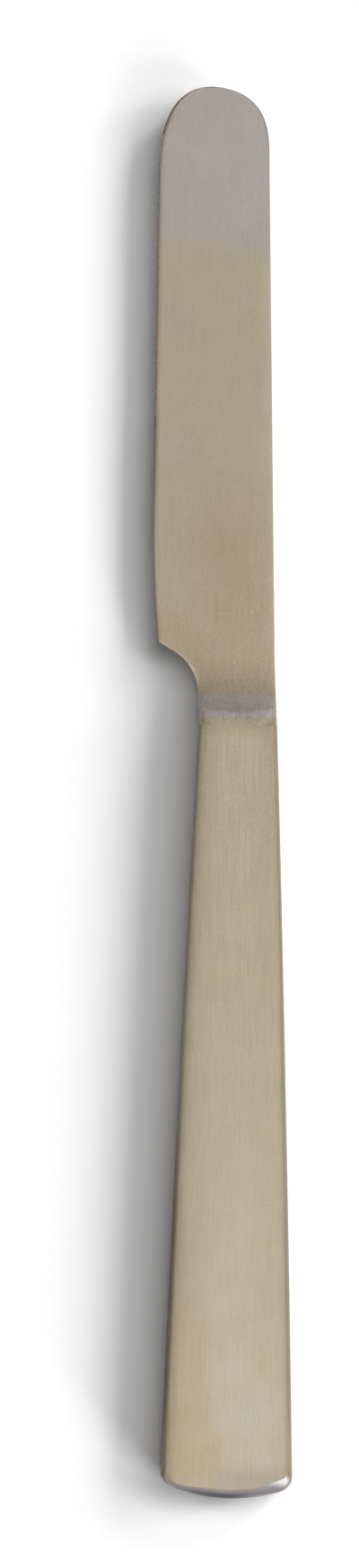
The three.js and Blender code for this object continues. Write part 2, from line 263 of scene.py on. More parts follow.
def outline_half(side, in_side, in_share, in_butt, in_bevel):
    """One side of nested outlines, from the mouth to the axis at the butt. Rows run along, columns run
    inwards. The side follows half_width, drawn in by a length and by a share of it. The corner is a
    parabola through two tangents, on the right tighter up the bevel. The butt is a circle's arc, drawn in
    by a length and by its bevel's width. A few rounds find where side and butt meet."""
    centre = BUTT_Y + BUTT_RADIUS
    corner_y = np.full_like(in_side, BUTT_Y)

    def side_x(y):
        return side * (half_width(y) * (1 - in_share * gather(y)) - in_side)

    def butt_y(x):
        inset = in_butt + in_bevel * bevel_share(x)
        return centre - np.sqrt((BUTT_RADIUS - inset) ** 2 - (x - BUTT_SKEW) ** 2)

    for _ in range(CORNER_TRIES):
        corner_y = butt_y(side_x(corner_y))
    corner_x = side_x(corner_y)
    corner = BUTT_CORNER - CORNER_TIGHTEN * in_bevel * (side > 0)
    start_y = corner_y + corner
    end_x = corner_x - side * corner
    straight_y = between(MOUTH_Y, start_y, SIDE_SHARES[:, None])
    share = CORNER_SHARES[:, None]
    first, middle, last = (1 - share) ** 2, 2 * share * (1 - share), share**2
    arc_x = end_x * (1 - BUTT_SHARES[:, None])
    x = [side_x(straight_y), first * side_x(start_y) + middle * corner_x + last * end_x, arc_x]
    y = [straight_y, first * start_y + middle * corner_y + last * butt_y(end_x), butt_y(arc_x)]
    return np.concatenate(x), np.concatenate(y)


print(f"half the handle: {half_width(MOUTH_Y):.2f} mm at the mouth, {half_width(BUTT_Y):.2f} mm at the butt")

# %% [markdown]
# ## The two shells
# Each shell is a shallow pressed tray with an upright band at its rim. Along the sides a short steep wall
# runs into a soft shoulder, round the butt there is a crisp bevel, and the face is very slightly crowned. A
# Solidify modifier could give the wall its thickness. The section is written as one closed loop instead,
# out over the outside and back along the inside, so wall, rim and open mouth come out of one grid.

# %% Height of the shell's outside and inside
SIDE_BAND = 1.6
SHELL_WALL = 0.8
CROWN = 0.2
WALL_SHARE = 0.042
SHOULDER_SHARE = 0.5
SHOULDER_RISE = 0.086
SHOULDER_FALLOFF = 4.6
ROUND_HEIGHT = HALF_THICKNESS - SIDE_BAND / 2
CREST_DISTANCE = 2.25
CREST_BOW = 0.8
CREST_DROP = 0.46
ROLL_START = 2.5
ROLL_POWER = 2.5


def crest(side):
    """Distance of the bolster's crest from the mouth: a parabola across, with the sides at 1."""
    return CREST_DISTANCE + CREST_BOW * side**2


def roll_off(along, side):
    """How far the face rolls off towards the crest: a power curve that starts just behind the mouth."""
    return CREST_DROP * part_way(along, -ROLL_START, crest(side)) ** ROLL_POWER


def face_fall(side, half):
    """How far the face lies below its middle, for a place across, 1 at the border, and a half width. The
    crown is a parabola, and the shoulder levels out exponentially from the wall inwards."""
    inwards = np.clip((1 - WALL_SHARE - abs(side)) / SHOULDER_SHARE, 0, 1)
    least = math.exp(-SHOULDER_FALLOFF)
    shoulder = SHOULDER_RISE * half * (np.exp(-SHOULDER_FALLOFF * inwards) - least) / (1 - least)
    return CROWN * side**2 + shoulder


def outer_height(x, y):
    """Rise of the outside above the band: the full rise, less the face's fall and its roll-off."""
    half = half_width(y)
    return ROUND_HEIGHT - face_fall(x / half, half) - roll_off(y - MOUTH_Y, x / half)


def inner_height(x, y):
    """Rise of the inside above the band, which is level."""
    return np.full_like(x, ROUND_HEIGHT - SHELL_WALL)


middle_fall = face_fall(1 - WALL_SHARE, half_width(0))
print(f"half way along, the face falls {middle_fall:.2f} mm from its middle to the wall")

# %% Columns of the border
WALL_POWER = 1.2
WALL_STEPS = 6
SHOULDER_STEPS = 16
RIM_EDGE = 0.15
RIM_WIDTH = 1.5
RIM_TOP_SLOPE = math.tan(math.radians(20))
RIM_FOOT_SLOPE = math.tan(math.radians(45))
CORNER_TURN = (0.1, 0.55)
UP = np.linspace(0, 1, WALL_STEPS + 1)
INWARDS = np.linspace(0, 1, SHOULDER_STEPS + 1)[1:]
WALL_IN = np.concatenate([WALL_SHARE * UP**WALL_POWER, np.full(SHOULDER_STEPS, WALL_SHARE)])
SHOULDER_IN = np.concatenate([np.zeros_like(UP), SHOULDER_SHARE * INWARDS])
SIDE_LIFT = np.concatenate([UP, np.ones(SHOULDER_STEPS)])
IS_WALL = np.concatenate([np.ones_like(UP), np.zeros(SHOULDER_STEPS)])


def rim_columns():
    """The butt's border, column by column: its inset and its share of the rise. A power curve leads off the
    upright band into a bevel that is a parabola: its slope eases evenly from foot to top."""
    rise = RIM_WIDTH * (RIM_FOOT_SLOPE * INWARDS + (RIM_TOP_SLOPE - RIM_FOOT_SLOPE) * INWARDS**2 / 2)
    foot = ROUND_HEIGHT - rise[-1]
    power = foot / (RIM_EDGE * RIM_FOOT_SLOPE)
    inset = np.concatenate([RIM_EDGE * UP**power, RIM_EDGE + RIM_WIDTH * INWARDS])
    return inset, np.concatenate([foot * UP, foot + rise]) / ROUND_HEIGHT


def round_butt():
    """0 for the rows along the sides, 1 for those along the butt, with an S-curve in the corner."""
    row = np.arange(len(SIDE_SHARES) + len(CORNER_SHARES) + len(BUTT_SHARES))
    through = (row - len(SIDE_SHARES) + 1) / len(CORNER_SHARES)
    return smooth_step(through, *CORNER_TURN)[:, None]


def with_band(columns):
    """The columns with the first one doubled, for the upright band between the seam and the wall."""
    return np.concatenate([columns[..., :1], columns], axis=-1)


print(f"border: {len(UP)} columns up the wall and {len(INWARDS)} over the shoulder, {len(round_butt())} rows")

# %% Work out a shell as one closed grid
SIDE_ROUND = 3
BUTT_ROUND = 1.8
BRAZE_THICKNESS = 0.2
FACE_STEPS = 26


def tray_skin(insets, lift, height_of):
    """A skin over the handle, from the left rim across the face to the right rim, as x, y and height over
    the seam. Each column is an outline with its own insets, and the face spans the innermost two."""
    left_x, left_y = outline_half(-1, *insets)
    right_x, right_y = outline_half(1, *insets)
    across = np.linspace(0, 1, FACE_STEPS + 1)[1:-1]
    face_x = left_x[:, -1:] * (1 - across) + right_x[:, -1:] * across
    face_y = left_y[:, -1:] * (1 - across) + right_y[:, -1:] * across
    x = np.concatenate([left_x, face_x, right_x[:, ::-1]], axis=1)
    y = np.concatenate([left_y, face_y, right_y[:, ::-1]], axis=1)
    share = np.concatenate([lift, np.ones_like(face_x), lift[:, ::-1]], axis=1)
    base = np.full_like(share, SIDE_BAND / 2)
    base[:, [0, -1]] = BRAZE_THICKNESS / 2
    return x, y, base + height_of(x, y) * share


def shell_grid(facing):
    """Grid of one shell, facing 1 for the upper and -1 for the lower. The outside turns from wall and
    shoulder at the sides into the bevel at the butt, and the inside is rounded by quarter ellipses."""
    in_bevel, butt_lift = rim_columns()
    lift = between(SIDE_LIFT, butt_lift, round_butt())
    shares = with_band(WALL_IN + SHOULDER_IN)
    insets = (0 * shares, shares, 0 * shares, with_band(in_bevel))
    outside = tray_skin(insets, with_band(lift), outer_height)
    turn = with_band(np.linspace(0, math.pi / 2, len(SIDE_LIFT)))
    drawn = 1 - np.cos(turn)
    in_side = between(SHELL_WALL, SIDE_ROUND, drawn)
    in_butt = between(SHELL_WALL, BUTT_ROUND, drawn)
    insets = (in_side, 0 * drawn, in_butt, 0 * drawn)
    inside = tray_skin(insets, np.sin(turn) + 0 * round_butt(), inner_height)
    loop = [np.concatenate([out, back[:, ::-1]], axis=1) for out, back in zip(outside, inside)]
    return np.stack([loop[0], loop[1], HALF_THICKNESS + facing * loop[2]], axis=2)


# %% [markdown]
# The steel of the shells has not one tone, and much of it is painted light. The sides carry a painted shade
# that is darkest on the left, the butt's bevel a painted cool reflection with painted shade at its foot and a
# painted glint at the right corner, and the face a pale painted sheen, which is more towards the spine. The
# brushing is coarsest at the bolster, and the butt is the most mottled. This could be painted by hand. Masks
# that are worked out from the place on the handle follow its shape exactly, and each gives the share of one
# tone.

# %% Masks along the handle
LEAST_BRUSHED = (0.37, 0.5)
BRUSHED_REACH = (16, 45)
MOTTLED_HANDLE = (0.15, 0.8)
MOTTLED_FROM = (75, 115)
TAN_BORDER = (-0.6, -0.08)
TAN_ALONG = (100, 126)
TAN_BLUR = (0.2, -0.2)
TAN_START = (88, 112)
MOUTH_TONE = 0.36
MOUTH_FADE = 2.5
# Painted sheen over the handle's face.
SHEEN_ALONG = (45, 117)
SHEEN_BEFORE_RIM = (3.6, 6.6)
SHEEN_LEFT = (-0.75, -0.1)
SHEEN_RIGHT = (0.1, 0.6)
SHEEN_RIGHT_ALONG = (117, 102)
SHEEN_SPINE = (0.5, 0.85)
SHEEN_WEAKENED = 0.5
BROWN_SIDES = (0.2, 0.8)
BROWN_MOUTH = (34, 4)


def place_on_handle(grid):
    """Distance behind the mouth, and place across as a share of the half width, negative on the left."""
    y = grid[:, :, 1]
    return MOUTH_Y - y, grid[:, :, 0] / half_width(y)


def brushed_share(along):
    """How strong the brushing shows: 1 at the mouth, falling exponentially along blade and handle."""
    least = np.where(along > 0, *LEAST_BRUSHED)
    return between(least, 1, np.exp(-abs(along) / np.where(along > 0, *BRUSHED_REACH)))


def mottled_share(grid):
    """How much the handle's colour drifts: an S-curve from little by the mouth to most at the butt."""
    return between(*MOTTLED_HANDLE, smooth_step(MOUTH_Y - grid[:, :, 1], *MOTTLED_FROM))


def tanned_left(grid):
    """1 where the warm film is kept, on the left before the butt. Its border runs slantwise across, with an
    S-curve over it and another one along."""
    behind, side = place_on_handle(grid)
    border = between(*TAN_BORDER, part_way(behind, *TAN_ALONG))
    return smooth_step(side - border, *TAN_BLUR) * smooth_step(behind, *TAN_START)


def sheen_share(grid):
    """How strong the painted sheen on the handle is: a short rise behind the mouth, then a straight one along
    the face.
    It is weaker by both sides and fades before the rim."""
    behind, side = place_on_handle(grid)
    sheen_along = part_way(behind, *SHEEN_ALONG)
    left = smooth_step(side, *SHEEN_LEFT)
    right = 1 - SHEEN_WEAKENED * smooth_step(side, *SHEEN_RIGHT) * smooth_step(behind, *SHEEN_RIGHT_ALONG)
    spine = 1 - SHEEN_WEAKENED * smooth_step(side, *SHEEN_SPINE)
    before_rim = smooth_step(HANDLE_LENGTH - behind, *SHEEN_BEFORE_RIM)
    sheen = sheen_along * left * right * spine * before_rim
    return MOUTH_TONE * smooth_step(behind, 0, MOUTH_FADE) + (1 - MOUTH_TONE) * sheen


def brown_sides(grid):
    """How brown the film is: most by the sides, just behind the mouth, falling off in S-curves."""
    behind, side = place_on_handle(grid)
    brown = smooth_step(abs(side), *BROWN_SIDES) * smooth_step(behind, *BROWN_MOUTH)
    return brown * smooth_step(behind, 0, MOUTH_FADE)


# %% Masks of the border and the butt
# Painted shade along the handle's border, darkest on the left.
SHADE_LEFT = 0.6
SHADE_LEFT_FULL = (55, 85)
SHADE_LEFT_REACH = 0.068
SHADE_RIGHT = 0.3
SHADE_RIGHT_REACH = 0.09
WALL_RIGHT = 0.6
WIDE_SHADE = 0.1
WIDE_SIDES = (0.2, 0.7)
WIDE_MOUTH = (75, 10)
# Painted cool reflection over the face just before the bevel.
LEFT_CORNER = (-10.6, -8.2)
COOL_SPREAD = 0.35
COOL_SPREAD_ALONG = (7, 3.5)
COOL_SPREAD_ACROSS = (-5, 4)
BEVEL_FADE = 0.8
# Painted shade at the foot of the butt's bevel.
FOOT_SHADE_HEIGHT = (3.0, 2.4)
FOOT_SHADE_RIGHT = 0.15
FOOT_SHADE_RIGHT_FADE = (0, 7)
FOOT_SHADE_LEFT = 0.75
FOOT_SHADE_LEFT_FADE = (-4, -9)
# Painted glint on the bevel's right corner, where a lamp would shine.
GLINT_CORNER = (4.5, 11)
GLINT_FADE = 0.6


def on_border(columns):
    """A mask for the whole loop of a shell from the columns of its border, the same in all rows or one set
    for each row: left border, bare face, right border, and bare inside."""
    border = with_band(columns) + 0 * round_butt()
    face = np.zeros((len(border), FACE_STEPS - 1))
    outside = np.concatenate([border, face, border[:, ::-1]], axis=1)
    return np.concatenate([outside, np.zeros_like(outside)], axis=1)


def on_butt(grid):
    """1 on the butt's rows of the border and 0 along the sides, rising behind the corner on the left."""
    return round_butt() * smooth_step(grid[:, :, 0], *LEFT_CORNER)


def border_shade(grid):
    """Painted shade along the border: 1 on the band and the wall, an S-curve to 0 over a share of the half
    width on the shoulder, and a faint wide part towards the mouth. It is thinner in front, and thinner and
    wider on the lit right side. It goes round the left corner on the bevel and is gone from the rest of the
    butt."""
    behind, side = place_on_handle(grid)
    inwards = 1 - WALL_SHARE - abs(side)
    reach = np.where(side > 0, SHADE_RIGHT_REACH, SHADE_LEFT_REACH)
    left = between(SHADE_LEFT, 1, smooth_step(behind, *SHADE_LEFT_FULL))
    wall = on_border(IS_WALL) * np.where(side > 0, WALL_RIGHT, left)
    # The painted shade over the shoulder.
    film = smooth_step(inwards / reach, 1, 0) * np.where(side > 0, SHADE_RIGHT, left)
    wide = WIDE_SHADE * smooth_step(abs(side), *WIDE_SIDES) * smooth_step(behind, *WIDE_MOUTH)
    along_sides = np.maximum(np.maximum(wall, film), wide) * (1 - on_butt(grid))
    bevel = on_border(np.concatenate([np.ones_like(UP), 1 - INWARDS]) * round_butt())
    corner = bevel * smooth_step(grid[:, :, 0], *LEFT_CORNER[::-1])
    return np.maximum(along_sides, corner)


def end_cool_reflection(grid):
    """A faint painted cool reflection over the face before the bevel, with S-curves along and across."""
    along = smooth_step(grid[:, :, 1] - BUTT_Y, *COOL_SPREAD_ALONG)
    return COOL_SPREAD * along * smooth_step(grid[:, :, 0], *COOL_SPREAD_ACROSS)


def bevel_reflection(grid):
    """Painted cool reflection of the butt's bevel: 1 on the band and the bevel, with an S-curve to 0 at the
    bevel's top.
    """
    columns = np.concatenate([np.ones_like(UP), smooth_step(INWARDS, 1, BEVEL_FADE)])
    return on_border(columns) * on_butt(grid)


def foot_shade(grid):
    """Painted shade at the foot of the butt's bevel: 1 there, falling off upwards and to both sides in
    S-curves.
    """
    border = on_border(np.ones_like(SIDE_LIFT)) * on_butt(grid)
    right = between(1, FOOT_SHADE_RIGHT, smooth_step(grid[:, :, 0], *FOOT_SHADE_RIGHT_FADE))
    left = between(1, FOOT_SHADE_LEFT, smooth_step(grid[:, :, 0], *FOOT_SHADE_LEFT_FADE))
    return border * left * right * smooth_step(abs(grid[:, :, 2] - HALF_THICKNESS), *FOOT_SHADE_HEIGHT)


def glint_share(grid):
    """How strong the painted glint on the bevel is: an S-curve towards the right corner, and a wedge that
    starts at the bevel's top and reaches further down the nearer it is to the corner."""
    up = on_border(np.concatenate([np.zeros_like(UP), INWARDS[:-1], [0]]))
    towards = smooth_step(grid[:, :, 0], *GLINT_CORNER)
    return towards * smooth_step(up - 1 + towards, 0, GLINT_FADE) * on_butt(grid)


# %% Make the front and the back shell
SHELL_SHARP_ANGLE = 18
shells = {}
for node, facing in (("front_shell", 1), ("back_shell", -1)):
    points = shell_grid(facing)
    # Besides brushing, mottling and the film's tones, these masks hold painted light: sheen, cool
    # reflections, shade and a glint.
    tones = {
        "brushed": brushed_share(points[:, :, 1] - MOUTH_Y),
        "mottled": mottled_share(points),
        "brown": brown_sides(points),
        "painted_sheen": sheen_share(points),
        "tanned": tanned_left(points),
        "painted_cool_reflection": end_cool_reflection(points),
        "painted_edge_shade": border_shade(points),
        # The ground mask paints a cool reflection on the butt's bevel.
        "ground": bevel_reflection(points),
        "painted_foot_shade": foot_shade(points),
        "painted_glint": glint_share(points),
    }
    name = node.replace("shell", "pressing")
    shell = closed_piece(name, points, tones, capped=("first",), sharp_degrees=SHELL_SHARP_ANGLE)
    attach(shell, "root")
    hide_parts(node)
    shells[node] = shell

# %% [markdown]
# ## The brazed seam
# Where the rims of the shells meet, a hair of brazing filler shows as a fine line round the handle. It
# could be painted on, but then it would not follow the rim at the butt. So it is a thin U of its own, made
# by carrying a small upright rectangle along the outline from one side of the mouth to the other.


# %% Carry a small rectangle round the rim
def seam_grid():
    """Rows run from the left of the mouth round the butt to the right, columns round the rectangle."""
    insets = np.array([0, SHELL_WALL])
    left = np.stack(outline_half(-1, insets, 0 * insets, insets, 0 * insets), axis=2)
    right = np.stack(outline_half(1, insets, 0 * insets, insets, 0 * insets), axis=2)[-2::-1]
    path = np.concatenate([left, right])
    corners = path[:, [0, 1, 1, 0]]
    half = BRAZE_THICKNESS / 2
    height = np.broadcast_to(HALF_THICKNESS + half * np.array([1, 1, -1, -1]), corners.shape[:2])
    return np.concatenate([corners, height[:, :, None]], axis=2)


seam = closed_piece("braze_line", seam_grid(), {})
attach(seam, "root")
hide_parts("seam_braze")

# %% [markdown]
# ## The blade's outline
# The edge side starts as a narrow neck, sweeps round the choil to the heel, and runs on as a cutting edge
# that is relieved a little near the heel. The spine is straight and closes on the axis. Both end in the
# round tip. These could be drawn as curves. Each side is a function of the distance from the mouth instead,
# so numpy can work out the whole outline in one go.

# %% Both sides of the blade as functions of the distance from the mouth
SPINE_OFFSET = 6.33
SPINE_LEAN = math.tan(math.radians(1.51))
SPINE_FLARE = 12
TIP_OFFSET = 6.36
TIP_EDGE_CURVE = 18
TIP_SPINE_CURVE = 12.5
TIP_ALONG = 3.2
TIP_ACROSS = 2.12
TIP_FLAT = 0.8
HEEL_DISTANCE = 14
HEEL_RELIEF = 1.25
RELIEF_END = 38
HEEL_LEAN = math.radians(30.6)
CHOIL_RADIUS = 8.8
NECK_LEAN = math.radians(2.9)


def choil_arc():
    """Centre and ends of the arc that touches the neck's line and the slanted line behind the heel."""
    neck = math.tan(NECK_LEAN)
    neck_out = MOUTH_WIDTH / 2 + CHOIL_RADIUS * math.hypot(1, neck)
    heel_out = EDGE_OFFSET - HEEL_RELIEF
    reach = HEEL_DISTANCE * math.cos(HEEL_LEAN) - CHOIL_RADIUS + (neck_out - heel_out) * math.sin(HEEL_LEAN)
    along = reach / (math.cos(HEEL_LEAN) - neck * math.sin(HEEL_LEAN))
    start = along + CHOIL_RADIUS * math.sin(NECK_LEAN)
    end = along + CHOIL_RADIUS * math.cos(HEEL_LEAN)
    return along, neck_out + neck * along, start, end


CHOIL_ALONG, CHOIL_OUT, CHOIL_START, CHOIL_END = choil_arc()


def tip_share(along, curve):
    """Share of the width that is left in the tip's curve, a superellipse with one exponent each way."""
    through = np.clip((along - BLADE_LENGTH + curve) / curve, 0, 1)
    return (1 - through**TIP_ALONG) ** (1 / TIP_ACROSS)


def cutting_side(along):
    """Distance of the cutting side from the axis: neck line, choil arc, heel line, then edge and tip."""
    neck = MOUTH_WIDTH / 2 + along * math.tan(NECK_LEAN)
    choil = CHOIL_OUT - np.sqrt(np.clip(CHOIL_RADIUS**2 - (along - CHOIL_ALONG) ** 2, 0, None))
    heel = EDGE_OFFSET - HEEL_RELIEF - (HEEL_DISTANCE - along) / math.tan(HEEL_LEAN)
    relief = HEEL_RELIEF * part_way(along, RELIEF_END, HEEL_DISTANCE) ** 2
    width = (EDGE_OFFSET - relief - TIP_OFFSET) * tip_share(along, TIP_EDGE_CURVE)
    edge = TIP_OFFSET + np.maximum(width, TIP_FLAT / 2)
    ends = [along < CHOIL_START, along < CHOIL_END, along < HEEL_DISTANCE]
    return np.select(ends, [neck, choil, heel], edge)


def spine_line(along):
    """The straight line of the spine, from the axis."""
    return SPINE_OFFSET - along * SPINE_LEAN


def spine_side(along):
    """Distance of the spine from the axis: its line, a parabola into the neck, and the tip's curve."""
    flare = MOUTH_WIDTH / 2 - SPINE_OFFSET
    widened = spine_line(along) + flare * np.clip(1 - along / SPINE_FLARE, 0, 1) ** 2
    width = (widened + TIP_OFFSET) * tip_share(along, TIP_SPINE_CURVE)
    return np.maximum(width, TIP_FLAT / 2) - TIP_OFFSET


half_way = np.array(BLADE_LENGTH / 2)
print(f"blade half way along: {cutting_side(half_way) + spine_side(half_way):.2f} mm wide")

# %% [markdown]
# ## Wedge, cove and bolster
# Across, the blade is a wedge that thins from spine to edge. Behind it the metal rises in a ground cove to
# the bowed crest of the bolster, which is the one crisp line across the knife, and rolls off from there
# into the handle. A sculptor would cut these one by one. As a height over the outline they are one formula.

# %% Half the thickness of blade and bolster
SPINE_THICKNESS = 2.3
TIP_THICKNESS = 1.2
EDGE_THICKNESS = 0.44
COVE_END = 11.9
CREST_ENDS = 0.6


def wedge(x, along):
    """Half the thickness of the ground blade, in a straight line from the edge to the spine."""
    spine = between(SPINE_THICKNESS, TIP_THICKNESS, part_way(along, 0, BLADE_LENGTH))
    across = (x + EDGE_OFFSET) / (spine_line(along) + EDGE_OFFSET)
    return between(EDGE_THICKNESS, spine, across) / 2


def face_height(x, along, side):
    """Half the thickness at a point of the face. Behind the crest it is the handle's crown and shoulder,
    which fade a little, and its roll-off. Before it a parabola falls to the wedge and ends flush."""
    top = crest(side)
    fall = face_fall(side, MOUTH_WIDTH / 2)
    behind = HALF_THICKNESS - fall * between(1, CREST_ENDS, part_way(along, 0, top)) - roll_off(along, side)
    crest_height = HALF_THICKNESS - CREST_ENDS * fall - CREST_DROP
    cove = part_way(along, COVE_END, top) ** 2
    before = wedge(x, along) + (crest_height - wedge(x, top)) * cove
    return np.where(along < top, behind, before)


def bowed(station, side):
    """A station along the middle of the face, moved so that the crest's stations follow its bow."""
    through = (station - CREST_DISTANCE) / (COVE_END - CREST_DISTANCE)
    in_cove = between(crest(side), COVE_END, through)
    behind = station * crest(side) / CREST_DISTANCE
    places = [station >= COVE_END, station <= CREST_DISTANCE]
    return np.select(places, [station + 0 * side, behind], in_cove)


print(f"crest of the bolster: {2 * face_height(0, CREST_DISTANCE, 0):.2f} mm thick in the middle")

# %% [markdown]
# ## The cutting edge
# Fine teeth are ground into the edge from one side only, the usual way for table cutlery: each is a small
# round scoop that slopes right through the thin edge. Cutting 48 scoops with booleans would leave rough
# triangles. Moving the edge in and slanting it, by the distance along the blade, keeps the grid clean.

# %% Teeth and the very edge
SERRATION_FROM_TIP = 8.3
SERRATION_COUNT = 48
SERRATION_PITCH = 1
SERRATION_DEPTH = 0.18
EDGE_LAND = 0.06
PLAIN_LAND = 0.3
LAND_CHANGE = 2
SERRATION_END = BLADE_LENGTH - SERRATION_FROM_TIP
SERRATION_START = SERRATION_END - SERRATION_COUNT * SERRATION_PITCH


def scoop(along):
    """Depth of the scoops as a share: circular arcs, 1 in the middle of each and 0 between them."""
    radius = (SERRATION_PITCH**2 / 4 + SERRATION_DEPTH**2) / (2 * SERRATION_DEPTH)
    off = ((along - SERRATION_START) / SERRATION_PITCH % 1 - 0.5) * SERRATION_PITCH
    depth = np.sqrt(radius**2 - off**2) - (radius - SERRATION_DEPTH)
    inside = (along > SERRATION_START) & (along < SERRATION_END)
    return np.where(inside, np.clip(depth / SERRATION_DEPTH, 0, 1), 0)


def edge_land(along):
    """Thickness of the very edge: blunt at heel and tip, thin along the teeth, with S-curves between."""
    onto = smooth_step(along, SERRATION_START - LAND_CHANGE, SERRATION_START)
    off = smooth_step(along, SERRATION_END + LAND_CHANGE, SERRATION_END)
    return between(PLAIN_LAND, EDGE_LAND, onto * off)


print(f"{SERRATION_COUNT} teeth, from {SERRATION_START:.1f} to {SERRATION_END:.1f} mm before the mouth")

# %% [markdown]
# ## The forging, from tang to tip
# Blade, bolster, spigot and tang are one forging. The spigot fills the handle's mouth, and the notched tang
# is cemented into the hollow. They could be joined from several meshes, but all of them are sections on the
# same columns, so the whole forging is one loft: a list of sections from the end of the tang to the tip,
# closed at both ends.

# %% Columns of a section
FACE_COLUMNS = 29
MOUTH_INSET = (WALL_IN + SHOULDER_IN) * MOUTH_WIDTH / 2
MOUTH_ROUND = MOUTH_INSET[-1]
CORNER_STEPS = len(MOUTH_INSET) - 1


def section_columns():
    """Column weights of a section: x is left, right and the two border widths, each times its weight. The
    last row is the share of the height that a column reaches."""
    share = np.linspace(0, 1, CORNER_STEPS + 1)
    across = np.linspace(0, 1, FACE_COLUMNS + 2)[1:-1]
    zero, one = np.zeros_like(share), np.ones_like(share)
    left = np.stack([one, zero, share, zero, share])
    face = np.stack([1 - across, across, 1 - across, -across, np.ones_like(across)])
    right = np.stack([zero, one, zero, -share, share])
    return np.concatenate([left, face, right[:, ::-1]], axis=1)


COLUMNS = section_columns()
IS_LEFT = np.arange(COLUMNS.shape[1]) <= CORNER_STEPS
ON_CORNER = (COLUMNS[0] == 1) | (COLUMNS[1] == 1)
SOFT_DRAWN, SOFT_LIFT = (
    np.concatenate([border, np.ones(FACE_COLUMNS), border[::-1]])
    for border in (MOUTH_INSET / MOUTH_ROUND, SIDE_LIFT)
)


def section(left, right, left_width, right_width, roundness, softness=0):
    """Places across a section, and each column's share of the height. Roundness 1 makes the borders quarter
    ellipses, 0 makes them straight bevels, and softness 1 gives them the shells' profile."""
    turn = COLUMNS[4] * math.pi / 2
    drawn = between(between(COLUMNS[4], 1 - np.cos(turn), roundness), SOFT_DRAWN, softness)
    lift = between(COLUMNS[4], np.where(ON_CORNER, np.sin(turn), 1), roundness)
    lift = between(lift, SOFT_LIFT, softness)
    left_drawn = np.where(COLUMNS[0] == 1, drawn, COLUMNS[2])
    right_drawn = np.where(COLUMNS[1] == 1, -drawn, COLUMNS[3])
    x = left * COLUMNS[0] + right * COLUMNS[1] + left_width * left_drawn + right_width * right_drawn
    return x, lift


print(f"section: {COLUMNS.shape[1]} columns, with borders of {MOUTH_ROUND:.2f} mm at the mouth")

# %% Sections of the blade and the bolster
SCOOP_WIDTH = 0.26
SCOOP_FALL = 0.17
EDGE_BEVEL = 0.28
SPINE_ROUND = 0.3
CREST_ROUND = 1
WIDEST_BORDER = 0.4
TOOTH_STEPS = 8
ROWS_BETWEEN = [
    (0, CREST_DISTANCE, 14),
    (CREST_DISTANCE, COVE_END, 36),
    (COVE_END, HEEL_DISTANCE, 16),
    (HEEL_DISTANCE, RELIEF_END, 36),
    (RELIEF_END, SERRATION_START, 16),
    (SERRATION_START, SERRATION_END, SERRATION_COUNT * TOOTH_STEPS + 1),
]
TIP_ROWS = 60
LEAST_STEP = 0.004


def head_stations():
    """Distances from the mouth to the tip: even steps from start to end of each part, by its number of
    rows, and steps round a quarter circle in the tip. Of rows too close together the first is kept."""
    tip = BLADE_LENGTH - TIP_EDGE_CURVE * (1 - np.sin(np.linspace(0, math.pi / 2, TIP_ROWS)))
    stations = np.unique(np.concatenate([np.linspace(*rows) for rows in ROWS_BETWEEN] + [tip]))
    return stations[np.concatenate([[True], np.diff(stations) > LEAST_STEP])][:, None]


def blade_sections():
    """Sections of the ground blade and the bolster: x, y, and the heights over and under the middle. The
    borders turn from the mouth's into the crest's, and from there into edge and spine."""
    stations = head_stations()
    along = bowed(stations, np.ones_like(stations))
    depth = scoop(along)
    left = SERRATION_DEPTH * depth - cutting_side(along)
    right = spine_side(along)
    to_crest = part_way(along, 0, crest(1))
    to_blade = part_way(along, crest(1), COVE_END)
    neck_width = between(MOUTH_ROUND, CREST_ROUND, to_crest)
    limit = WIDEST_BORDER * (right - left)
    left_width = np.minimum(between(neck_width, between(EDGE_BEVEL, SCOOP_WIDTH, depth), to_blade), limit)
    right_width = np.minimum(between(neck_width, SPINE_ROUND, to_blade), limit)
    roundness = np.where(IS_LEFT, 1 - to_blade, 1)
    x, lift = section(left, right, left_width, right_width, roundness, 1 - to_crest)
    side = 2 * (x - left) / (right - left) - 1
    place = bowed(stations, side)
    top = face_height(x, place, side)
    neck_wall = between(SIDE_BAND / 2, HALF_THICKNESS - CREST_DROP - CREST_ROUND, to_crest)
    edge_wall = between(neck_wall, edge_land(along) / 2, to_blade)
    spine_wall = face_height(right, along, np.ones_like(along)) - SPINE_ROUND
    spine_wall = between(neck_wall, spine_wall, to_blade)
    fall = SCOOP_FALL * depth
    upper = between(np.where(IS_LEFT, edge_wall - fall, spine_wall), top, lift)
    lower = between(np.where(IS_LEFT, edge_wall + fall, spine_wall), top, lift)
    return x, MOUTH_Y + place, upper, lower


print(f"blade and bolster: {len(head_stations())} rows")

# %% Sections of the spigot and the tang
SPIGOT_LENGTH = 8
FIT_CLEARANCE = 0.3
TANG_LENGTH = 52
TANG_ROOT_WIDTH = 7
TANG_END_WIDTH = 4.6
TANG_THICKNESS = 2.2
TANG_CORNER = 0.15
TANG_NOTCH_RADIUS = 1.1
TANG_NOTCH_COUNT = 3
NOTCH_STEPS = 16
NOTCH_PLACES = TANG_LENGTH * np.arange(1, TANG_NOTCH_COUNT + 1) / (TANG_NOTCH_COUNT + 1)


def bar_sections(y, half_across, half_height, corner_width, corner_height):
    """Sections of a bar with rounded corners, one for every y."""
    half = half_across + 0 * y
    x, lift = section(-half, half, corner_width, corner_width, 1)
    height = half_height - corner_height * (1 - lift) + 0 * x
    return x, y + 0 * x, height, height


def tang_half_width(behind):
    """Half the tang's width: a taper, less half circles for the notches that key the cement."""
    taper = between(TANG_ROOT_WIDTH, TANG_END_WIDTH, behind / TANG_LENGTH) / 2
    off = abs(behind - NOTCH_PLACES).min(axis=1, keepdims=True)
    return taper - np.sqrt(np.clip(TANG_NOTCH_RADIUS**2 - off**2, 0, None))


